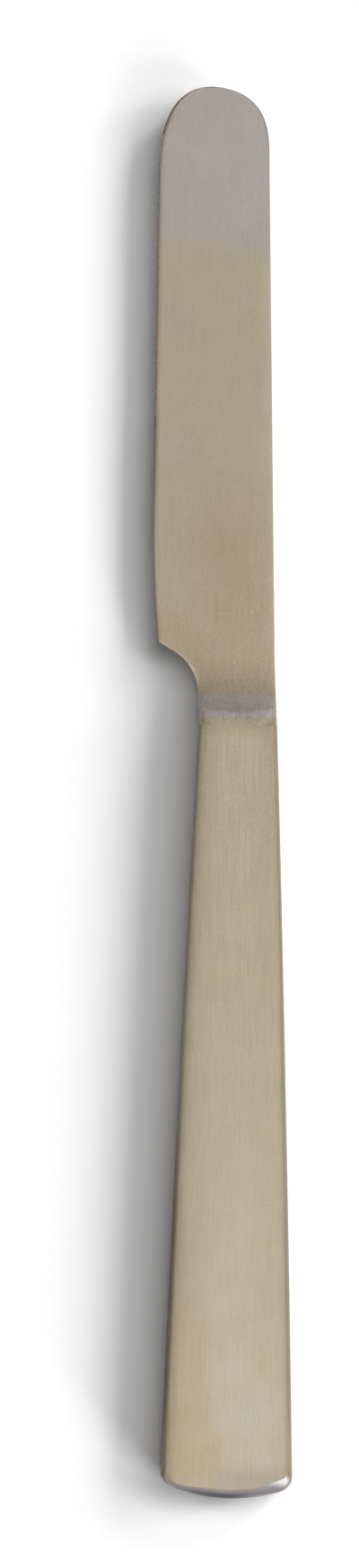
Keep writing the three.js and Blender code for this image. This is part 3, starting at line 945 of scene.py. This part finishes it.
def tang_stations():
    """Distances behind the spigot, from the tang's end, with even steps round each notch."""
    round_notch = TANG_NOTCH_RADIUS * np.cos(np.linspace(0, math.pi, NOTCH_STEPS + 1))
    in_notches = (NOTCH_PLACES[:, None] + round_notch).ravel()
    return np.sort(np.concatenate([[0, TANG_LENGTH], in_notches]))[::-1, None]


def forging_grid():
    """All sections from the end of the tang to the tip, over the top and back below."""
    inset = SHELL_WALL + FIT_CLEARANCE
    behind = tang_stations()
    tang = bar_sections(
        MOUTH_Y - SPIGOT_LENGTH - behind,
        tang_half_width(behind),
        TANG_THICKNESS / 2,
        TANG_CORNER,
        TANG_CORNER,
    )
    spigot = bar_sections(
        MOUTH_Y - np.array([[SPIGOT_LENGTH], [0]]),
        MOUTH_WIDTH / 2 - inset,
        HALF_THICKNESS - inset,
        SIDE_ROUND - inset,
        ROUND_HEIGHT - inset,
    )
    x, y, upper, lower = (np.concatenate(rows) for rows in zip(tang, spigot, blade_sections()))
    over = np.stack([x, y, HALF_THICKNESS + upper], axis=2)
    under = np.stack([x, y, HALF_THICKNESS - lower], axis=2)
    return np.concatenate([over, under[:, ::-1]], axis=1)


forging_points = forging_grid()
print(f"forging: {forging_points.shape[0]} sections of {forging_points.shape[1]} points")

# %% [markdown]
# Not every part of the blade has the same tone either. The tip and the ground crest of the bolster carry a
# painted cool reflection, cooler and greyer than the rest. The spine and the choil's edge carry a painted
# highlight, the ground edge and the left behind the crest a painted shade, and towards the bolster the film
# is browner. As on the handle, these masks come from the place on the blade, and the tip's border leans and
# wavers a little.

# %% Masks of the forging
TIP_TONE = (77.7, 84.7)
TIP_TONE_LEAN = 0.17
TIP_TONE_WAVE = (0.3, 2.3)
CREST_TONE_FRONT = (5.7, 4.6)
CREST_TONE_BACK = (0.9, 1.95)
# Painted highlight along the spine and the choil's edge.
SPINE_HIGHLIGHT = 0.6
SPINE_HIGHLIGHT_WIDTH = 1.1
CHOIL_HIGHLIGHT_WIDTH = (0.8, 0.3)
CHOIL_HIGHLIGHT_BACK = (6.5, 9)
CHOIL_HIGHLIGHT_FRONT = (15, 13.8)
# Painted shade along the ground edge and on the left behind the crest.
EDGE_SHADE_REACH = 0.7
CHOIL_SHADE_REACH = 0.12
CROWN_SHADE_REACH = 0.3
CROWN_START = (14, 9)
BOLSTER_SHADE = 0.2
BOLSTER_LEFT = (-1.5, -4.5)
BROWN_FRONT = (50, 30)
BROWN_OFF_EDGE = (-14, -3)
BROWN_EDGE_FRONT = (26, 14)
BROWN_BOLSTER = 0.5
MOTTLED_BLADE = 0.25


def cool_reflection(x, along):
    """Painted cool reflection: 1 on the tip and round the crest, with S-curves along. The tip's border leans
    and waves.
    """
    depth, length = TIP_TONE_WAVE
    wander = depth * np.sin(x / length) + TIP_TONE_LEAN * x
    tip = smooth_step(along + wander, *TIP_TONE)
    ground = smooth_step(along, *CREST_TONE_FRONT) * smooth_step(along, *CREST_TONE_BACK)
    return np.maximum(tip, ground)


def spine_and_choil_highlight(x, along):
    """Painted highlight: an exponential fall from the spine, between cove and tip, and an S-curve from the
    choil's edge.
    """
    from_spine = np.clip(spine_side(along) - x, 0, None)
    spine = SPINE_HIGHLIGHT * np.exp(-from_spine / SPINE_HIGHLIGHT_WIDTH) * smooth_step(along, CREST_DISTANCE, COVE_END)
    from_choil = np.clip(x + cutting_side(along), 0, None)
    choil = smooth_step(from_choil, *CHOIL_HIGHLIGHT_WIDTH)
    choil = choil * smooth_step(along, *CHOIL_HIGHLIGHT_BACK) * smooth_step(along, *CHOIL_HIGHLIGHT_FRONT)
    return np.maximum(spine, choil)


def edge_shade(x, along):
    """Painted shade: 1 on the ground edge, with an S-curve to 0 inwards: narrow round the choil, wider along
    the teeth, and narrow again round the crown of the tip. A little is left behind the crest, on the left."""
    reach = between(CHOIL_SHADE_REACH, EDGE_SHADE_REACH, smooth_step(along, HEEL_DISTANCE, SERRATION_START))
    edge = smooth_step((x + cutting_side(along)) / reach, 1, 0) * smooth_step(along, CREST_DISTANCE, COVE_END)
    ahead = BLADE_LENGTH - along
    crown = smooth_step(np.minimum(ahead, spine_side(along) - x) / CROWN_SHADE_REACH, 1, 0)
    left = BOLSTER_SHADE * smooth_step(x, *BOLSTER_LEFT) * smooth_step(along, 0, CREST_DISTANCE)
    bolster = np.where(along < crest(2 * x / MOUTH_WIDTH), left, 0)
    return np.maximum(np.maximum(edge, bolster), crown * smooth_step(ahead, *CROWN_START))


def brown_film(x, along):
    """1 along the lower half of the blade, falling off in S-curves. It reaches less far along the edge, and
    is weaker behind the crest."""
    front = smooth_step(along, *BROWN_FRONT) * smooth_step(x, *BROWN_OFF_EDGE)
    front = np.maximum(front, smooth_step(along, *BROWN_EDGE_FRONT))
    return np.where(along < CREST_DISTANCE, BROWN_BOLSTER, front)


# %% Make the forging
across, along = forging_points[:, :, 0], forging_points[:, :, 1] - MOUTH_Y
# Besides brushing and mottling, these masks hold painted light: a cool reflection, a highlight and shade.
tones = {
    "brushed": brushed_share(along),
    "mottled": np.full_like(along, MOTTLED_BLADE),
    "painted_cool_reflection": cool_reflection(across, along),
    "painted_sheen": spine_and_choil_highlight(across, along),
    "brown": brown_film(across, along),
    "painted_edge_shade": edge_shade(across, along),
}
blade = closed_piece("blade_forging", forging_points, tones)
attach(blade, "root")
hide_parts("blade")

# %% [markdown]
# ## Effects that several finishes share
# Brushed steel is never one flat colour. Fine scratches run along the knife, soft patches drift in tone,
# and a few tiny nicks catch the light. Every finish could hold its own noise nodes. Here each effect is a
# node group that is built once. It takes a position and a few numbers and gives back a mask, and every
# finish then uses the masks in its own way.


# %% Helpers for node trees
def add_node(tree, kind, settings=None, inputs=None):
    """A node of that kind, with its settings. An input gets a value or another node's output."""
    node = tree.nodes.new(kind)
    for name, value in (settings or {}).items():
        setattr(node, name, value)
    for socket, source in (inputs or {}).items():
        if isinstance(source, bpy.types.NodeSocket):
            tree.links.new(source, node.inputs[socket])
        else:
            node.inputs[socket].default_value = source
    return node


def calculate(tree, operation, *terms):
    """The result of a math node, whose terms are values or outputs."""
    return add_node(tree, "ShaderNodeMath", {"operation": operation}, dict(enumerate(terms))).outputs[0]


def spread(tree, source, low, high, start=0.0, end=1.0):
    """A value that goes from start to end while the source goes from low to high."""
    inputs = {"Value": source, "From Min": low, "From Max": high, "To Min": start, "To Max": end}
    return add_node(tree, "ShaderNodeMapRange", None, inputs).outputs[0]


def mix_colours(tree, factor, first, second, blend="MIX"):
    """The mix of two colours, on the mix node's sockets 6 and 7, from its output 2."""
    settings = {"data_type": "RGBA", "blend_type": blend}
    return add_node(tree, "ShaderNodeMix", settings, {0: factor, 6: first, 7: second}).outputs[2]


def effect_group(name, inputs, outputs):
    """An empty shader node group with named sockets, the outputs of its start node and its end node."""
    group = bpy.data.node_groups.new(name, "ShaderNodeTree")
    for socket, value in inputs.items():
        kind = "NodeSocketVector" if value is None else "NodeSocketFloat"
        made = group.interface.new_socket(name=socket, in_out="INPUT", socket_type=kind)
        if value is not None:
            made.default_value = value
    for socket in outputs:
        group.interface.new_socket(name=socket, in_out="OUTPUT", socket_type="NodeSocketFloat")
    return group, group.nodes.new("NodeGroupInput").outputs, group.nodes.new("NodeGroupOutput")


# %% Brushed grain, soft patches and fine nicks
NOISE_LOW, NOISE_HIGH = 0.3, 0.7
DRIFT_OFFSET = 7.0


def brushed_grain():
    """Two noises from -1 to 1, mixed by a share: long streaks, which are squeezed across the knife and
    stretched along it, and fine specks, which are only a little longer than wide."""
    sizes = {"Vector": None, "Across": 3600.0, "Long": 110.0, "Short": 2200.0, "Specks": 0.63}
    group, start, end = effect_group("brushed_grain", sizes, ["Streak"])
    strokes = []
    for along in ("Long", "Short"):
        scales = {"X": start["Across"], "Y": start[along], "Z": start["Across"]}
        stretch = add_node(group, "ShaderNodeCombineXYZ", None, scales).outputs[0]
        squeeze = {0: start["Vector"], 1: stretch}
        place = add_node(group, "ShaderNodeVectorMath", {"operation": "MULTIPLY"}, squeeze).outputs[0]
        noise = add_node(group, "ShaderNodeTexNoise", None, {"Vector": place, "Scale": 1.0, "Detail": 2.0})
        strokes.append(spread(group, noise.outputs["Fac"], NOISE_LOW, NOISE_HIGH, -1.0))
    mix = add_node(group, "ShaderNodeMix", None, {0: start["Specks"], 2: strokes[0], 3: strokes[1]})
    group.links.new(mix.outputs[0], end.inputs["Streak"])
    return group


def soft_patches():
    """Two slow noises from 0 to 1: one for lighter and darker patches, one for warmer and cooler ones."""
    group, start, end = effect_group("soft_patches", {"Vector": None, "Scale": 150.0}, ["Tone", "Drift"])
    for output, offset in (("Tone", 0.0), ("Drift", DRIFT_OFFSET)):
        move = {0: start["Vector"], 1: (offset, offset, offset)}
        place = add_node(group, "ShaderNodeVectorMath", {"operation": "ADD"}, move).outputs[0]
        look = {"Vector": place, "Scale": start["Scale"], "Detail": 4.0, "Roughness": 0.55}
        noise = add_node(group, "ShaderNodeTexNoise", None, look).outputs["Fac"]
        group.links.new(spread(group, noise, NOISE_LOW, NOISE_HIGH), end.inputs[output])
    return group


def fine_nicks():
    """Spots round the points of a flat Voronoi pattern, only in the cells whose random red is low."""
    sizes = {"Vector": None, "Spacing": 130.0, "Size": 0.013, "Share": 0.14}
    group, start, end = effect_group("fine_nicks", sizes, ["Nick"])
    pattern = {"Vector": start["Vector"], "Scale": start["Spacing"]}
    cells = add_node(group, "ShaderNodeTexVoronoi", {"voronoi_dimensions": "2D"}, pattern).outputs
    near = calculate(group, "LESS_THAN", cells["Distance"], start["Size"])
    red = add_node(group, "ShaderNodeSeparateColor", None, {0: cells["Color"]}).outputs[0]
    chosen = calculate(group, "LESS_THAN", red, start["Share"])
    group.links.new(calculate(group, "MULTIPLY", near, chosen), end.inputs["Nick"])
    return group


GRAIN, PATCHES, NICKS = brushed_grain(), soft_patches(), fine_nicks()
print("effects:", ", ".join(group.name for group in (GRAIN, PATCHES, NICKS)))

# %% [markdown]
# ## Satin steel, braze and cement
# The steel has a warm satin film where it is brushed, and a cooler grey where the masks paint a cool
# reflection, with painted sheen, shade and a glint on top. A plain metal with some roughness would look like
# grey paint here. The brushing blurs reflections much more across the strokes than along them, which is
# anisotropy. Its direction comes from the UV map that was stored with each mesh: the tangent follows the way
# round the section, square to the strokes. The braze takes the same finish in a darker tone. The cement
# inside the handle is a matt grey with pale and dark grains.


# %% Colours of the finishes
def linear(red, green, blue):
    """A colour as it is seen on a screen, from 0 to 255, as the linear values that a shader takes."""
    value = np.array([red, green, blue]) / 255
    low, high = value / 12.92, ((value + 0.055) / 1.055) ** 2.4
    return (*np.where(value <= 0.04045, low, high), 1.0)


BLADE_FILM = linear(177, 165, 144)
HANDLE_FILM = linear(176, 163, 138)
BRAZE_FILM = linear(150, 137, 117)
# Tones of the masks. Most are painted light: a sheen, cool reflections (the ground mask's on the bevel too),
# shade along the edges and at the bevel's foot, and a glint.
MASK_COLOURS = {
    "brown": linear(174, 159, 135),
    "painted_sheen": linear(195, 184, 164),
    "tanned": linear(189, 174, 148),
    "painted_cool_reflection": linear(175, 168, 164),
    "painted_edge_shade": linear(122, 107, 91),
    "ground": linear(181, 175, 180),
    "painted_foot_shade": linear(107, 106, 109),
    "painted_glint": linear(250, 253, 255),
}
WARMER = (0.98, 0.955, 0.875, 1)
COOLER = (0.995, 1.015, 1.075, 1)
NICK_COLOUR = linear(216, 212, 204)
CEMENT_DARK = linear(120, 117, 110)
CEMENT_PALE = linear(166, 163, 154)
print(f"{len(MASK_COLOURS)} tones:", ", ".join(MASK_COLOURS))

# %% Satin steel and rough cement
ANISOTROPY = 0.55
NEUTRAL = 0.5
PATCH_TONE = (0.985, 1.05)
ROUGHNESS_SPREAD = 0.04
STROKE_BUMP = {"Strength": 0.5, "Distance": 0.000002}
CEMENT_ROUGHNESS = 0.9
CEMENT_SCALE = 900.0
CEMENT_BUMP = {"Strength": 0.6, "Distance": 0.0001}


def new_material(name):
    """An empty material, its node tree and its shader."""
    material = bpy.data.materials.new(name)
    material.use_nodes = True
    return material, material.node_tree, material.node_tree.nodes["Principled BSDF"]


def satin_steel(name, colour, roughness, streak_depth, specks, nick_share):
    """Brushed steel: its colour turns by the masks of the mesh, drifts between warm and cool, and is
    lightened and darkened by streaks and patches. Streaks also change roughness and bump."""
    material, tree, shader = new_material(name)
    shader.inputs["Metallic"].default_value = 1.0
    shader.inputs["Anisotropic"].default_value = ANISOTROPY

    def mask(attribute):
        return add_node(tree, "ShaderNodeAttribute", {"attribute_name": attribute}).outputs["Fac"]

    def effect(group, inputs):
        return add_node(tree, "ShaderNodeGroup", {"node_tree": group}, inputs).outputs

    place = add_node(tree, "ShaderNodeTexCoord").outputs["Object"]
    unrolled = add_node(tree, "ShaderNodeUVMap", {"uv_map": "brush"}).outputs[0]
    streak = effect(GRAIN, {"Vector": place, "Specks": specks})["Streak"]
    patches = effect(PATCHES, {"Vector": place})
    nick = effect(NICKS, {"Vector": unrolled, "Share": nick_share})["Nick"]
    film = colour
    # The masks paint light and shade onto the film, as well as its brown and tanned tones.
    for attribute, turned in MASK_COLOURS.items():
        film = mix_colours(tree, mask(attribute), film, turned)
    off_neutral = spread(tree, patches["Drift"], 0.0, 1.0, -NEUTRAL, NEUTRAL)
    drift = calculate(tree, "MULTIPLY_ADD", off_neutral, mask("mottled"), NEUTRAL)
    film = mix_colours(tree, 1.0, film, mix_colours(tree, drift, WARMER, COOLER), "MULTIPLY")
    depth = calculate(tree, "MULTIPLY", mask("brushed"), streak_depth)
    tone = spread(tree, patches["Tone"], 0.0, 1.0, *PATCH_TONE)
    film = mix_colours(tree, 1.0, film, calculate(tree, "MULTIPLY_ADD", streak, depth, tone), "MULTIPLY")
    rough = (roughness - ROUGHNESS_SPREAD, roughness + ROUGHNESS_SPREAD)
    along_uv = {"direction_type": "UV_MAP", "uv_map": "brush"}
    links = {
        "Base Color": mix_colours(tree, nick, film, NICK_COLOUR),
        "Roughness": spread(tree, streak, -1.0, 1.0, *rough),
        "Normal": add_node(tree, "ShaderNodeBump", None, {**STROKE_BUMP, "Height": streak}).outputs[0],
        "Tangent": add_node(tree, "ShaderNodeTangent", along_uv).outputs[0],
    }
    for socket, source in links.items():
        tree.links.new(source, shader.inputs[socket])
    return material


def rough_cement():
    """Grey cement with pale and dark grains, as a matt surface with a coarse bump."""
    material, tree, shader = new_material("cement")
    shader.inputs["Roughness"].default_value = CEMENT_ROUGHNESS
    inputs = {"Vector": add_node(tree, "ShaderNodeTexCoord").outputs["Object"], "Scale": CEMENT_SCALE}
    patches = add_node(tree, "ShaderNodeGroup", {"node_tree": PATCHES}, inputs).outputs
    grains = mix_colours(tree, patches["Tone"], CEMENT_DARK, CEMENT_PALE)
    bump = add_node(tree, "ShaderNodeBump", None, {**CEMENT_BUMP, "Height": patches["Drift"]})
    tree.links.new(grains, shader.inputs["Base Color"])
    tree.links.new(bump.outputs[0], shader.inputs["Normal"])
    return material


# %% Put the finishes on
blade_steel = satin_steel(
    "blade_steel", BLADE_FILM, roughness=0.34, streak_depth=0.24, specks=0.63, nick_share=0.14
)
handle_steel = satin_steel(
    "handle_steel", HANDLE_FILM, roughness=0.34, streak_depth=0.175, specks=0.5, nick_share=0.05
)
braze_metal = satin_steel(
    "braze_metal", BRAZE_FILM, roughness=0.4, streak_depth=0.175, specks=0.5, nick_share=0.0
)
cement = rough_cement()
for piece, material in (
    (blade, blade_steel),
    (shells["front_shell"], handle_steel),
    (shells["back_shell"], handle_steel),
    (seam, braze_metal),
):
    piece.data.materials.append(material)
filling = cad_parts["handle_cement"]
filling.data.materials.clear()
filling.data.materials.append(cement)
print("finishes:", ", ".join(m.name for m in (blade_steel, handle_steel, braze_metal, cement)))

# %% [markdown]
# ## The table
# The table is white and keeps the knife's soft shadow. Blender's own plane would do, but four points are as
# short to write. It lies a hair below the handle, so the two don't flicker.

# %% Lay the table
TABLE_HALF = 3.0
TABLE_GAP = 0.02
TABLE_WHITE = 0.93


def lay_table():
    """A large square of matt white."""
    corners = np.array([(-1, -1, 0), (1, -1, 0), (1, 1, 0), (-1, 1, 0)]) * TABLE_HALF
    corners[:, 2] = -TABLE_GAP * MM
    mesh = bpy.data.meshes.new("table")
    mesh.from_pydata(corners, [], [(0, 1, 2, 3)])
    material, _, shader = new_material("white_table")
    shader.inputs["Base Color"].default_value = (TABLE_WHITE, TABLE_WHITE, TABLE_WHITE, 1)
    shader.inputs["Roughness"].default_value = 1.0
    shader.inputs["Specular IOR Level"].default_value = 0.0
    mesh.materials.append(material)
    table = bpy.data.objects.new("table", mesh)
    bpy.context.collection.objects.link(table)
    return table


print(f"{lay_table().name}: {2 * TABLE_HALF:.0f} m square, {TABLE_GAP} mm below the handle")

# %% [markdown]
# ## Light
# What the steel shows is the room: brightest overhead and a little towards the butt, dimmer towards the tip
# and to the left. A picture of a room could light it. Here the room is a world whose brightness is one
# curve over left and right times one over near and far, so it can be tuned by a few numbers. The table gets
# only a faint fill from it.

# %% Light the room
FILL = 0.02
LEFT_TO_RIGHT = [
    (-1.0, 0.45), (-0.9, 0.52), (-0.7, 0.64), (-0.5, 0.75), (-0.3, 0.86),
    (-0.1, 0.96), (0.0, 1.0), (0.4, 1.0), (0.6, 0.97), (0.8, 0.92), (1.0, 0.82),
]
NEAR_TO_FAR = [
    (-1.0, 0.42), (-0.9, 0.52), (-0.8, 0.66), (-0.64, 0.9), (-0.4, 1.15), (-0.1, 1.08), (0.0, 1.04),
    (0.15, 0.99), (0.3, 0.9), (0.45, 0.72), (0.6, 0.54), (0.8, 0.46), (1.0, 0.43),
]


def brightness_curve(tree, source, stops):
    """A ramp over -1 to 1, given as pairs of position and brightness."""
    ramp = add_node(tree, "ShaderNodeValToRGB", None, {0: spread(tree, source, -1.0, 1.0)})
    elements = ramp.color_ramp.elements
    while len(elements) < len(stops):
        elements.new(0.5)
    for element, (position, _) in zip(elements, stops):
        element.position = (position + 1) / 2
    for element, (_, value) in zip(elements, stops):
        element.color = (value, value, value, 1)
    return ramp.outputs[0]


def light_room():
    """The world: camera and steel see the room's two brightness curves, and the table gets the fill."""
    world = bpy.data.worlds.new("room")
    bpy.context.scene.world = world
    world.use_nodes = True
    tree = world.node_tree
    background = tree.nodes["Background"]
    direction = add_node(tree, "ShaderNodeTexCoord").outputs["Generated"]
    axes = add_node(tree, "ShaderNodeSeparateXYZ", None, {0: direction}).outputs
    across = brightness_curve(tree, axes[0], LEFT_TO_RIGHT)
    along = brightness_curve(tree, axes[1], NEAR_TO_FAR)
    room = mix_colours(tree, 1.0, across, along, "MULTIPLY")
    rays = add_node(tree, "ShaderNodeLightPath").outputs
    seen = calculate(tree, "MAXIMUM", rays["Is Camera Ray"], rays["Is Glossy Ray"])
    seen = calculate(tree, "MAXIMUM", seen, rays["Is Transmission Ray"])
    fill = (FILL / TABLE_WHITE, FILL / TABLE_WHITE, FILL / TABLE_WHITE, 1)
    tree.links.new(mix_colours(tree, seen, fill, room), background.inputs["Color"])
    return world


print(f"world: {light_room().name}, with {len(LEFT_TO_RIGHT)} and {len(NEAR_TO_FAR)} stops of brightness")

# %% [markdown]
# The shadow comes from soft lamps. Most of them stand low on the right and throw it to the left. Area lamps
# would give a shadow that changes along the knife, and suns with wide discs give the same one everywhere.
# Each is given by its share of the table's light. Shares and fill add up to a little more than white.

# %% Stand the lamps
LAMPS = [
    {"elevation": 11, "disc": 12, "shares": {-45: 0.115, 15: 0.08}},
    {"elevation": 18, "disc": 14, "shares": {-30: 0.105, 45: 0.139}},
    {"elevation": 26, "disc": 18, "shares": {0: 0.095, 15: 0.122, 150: 0.067}},
    {"elevation": 36, "disc": 22, "shares": {30: 0.096}},
    {"elevation": 48, "disc": 26, "shares": {45: 0.098}},
    {"elevation": 60, "disc": 30, "shares": {60: 0.071}},
    {"elevation": 72, "disc": 30, "shares": {90: 0.084}},
]


def stand_lamp(elevation, azimuth, disc, share):
    """A sun with a wide disc. The azimuth is counted from the right, towards the tip. A matt table shows
    its colour times the sun's strength times the sine of the elevation over pi, so the strength comes from
    the share. The steel doesn't mirror it."""
    data = bpy.data.lights.new("soft_lamp", "SUN")
    data.energy = share * math.pi / (TABLE_WHITE * math.sin(math.radians(elevation)))
    data.angle = math.radians(disc)
    lamp = bpy.data.objects.new("soft_lamp", data)
    lamp.rotation_euler = (0, math.radians(90 - elevation), math.radians(azimuth))
    bpy.context.collection.objects.link(lamp)
    lamp.visible_glossy = False


table_light = FILL
for row in LAMPS:
    for azimuth, share in row["shares"].items():
        stand_lamp(row["elevation"], azimuth, row["disc"], share)
        table_light += share
bpy.context.scene.view_settings.view_transform = "Standard"
print(f"lamps and fill give the table {table_light:.2f} times its white")
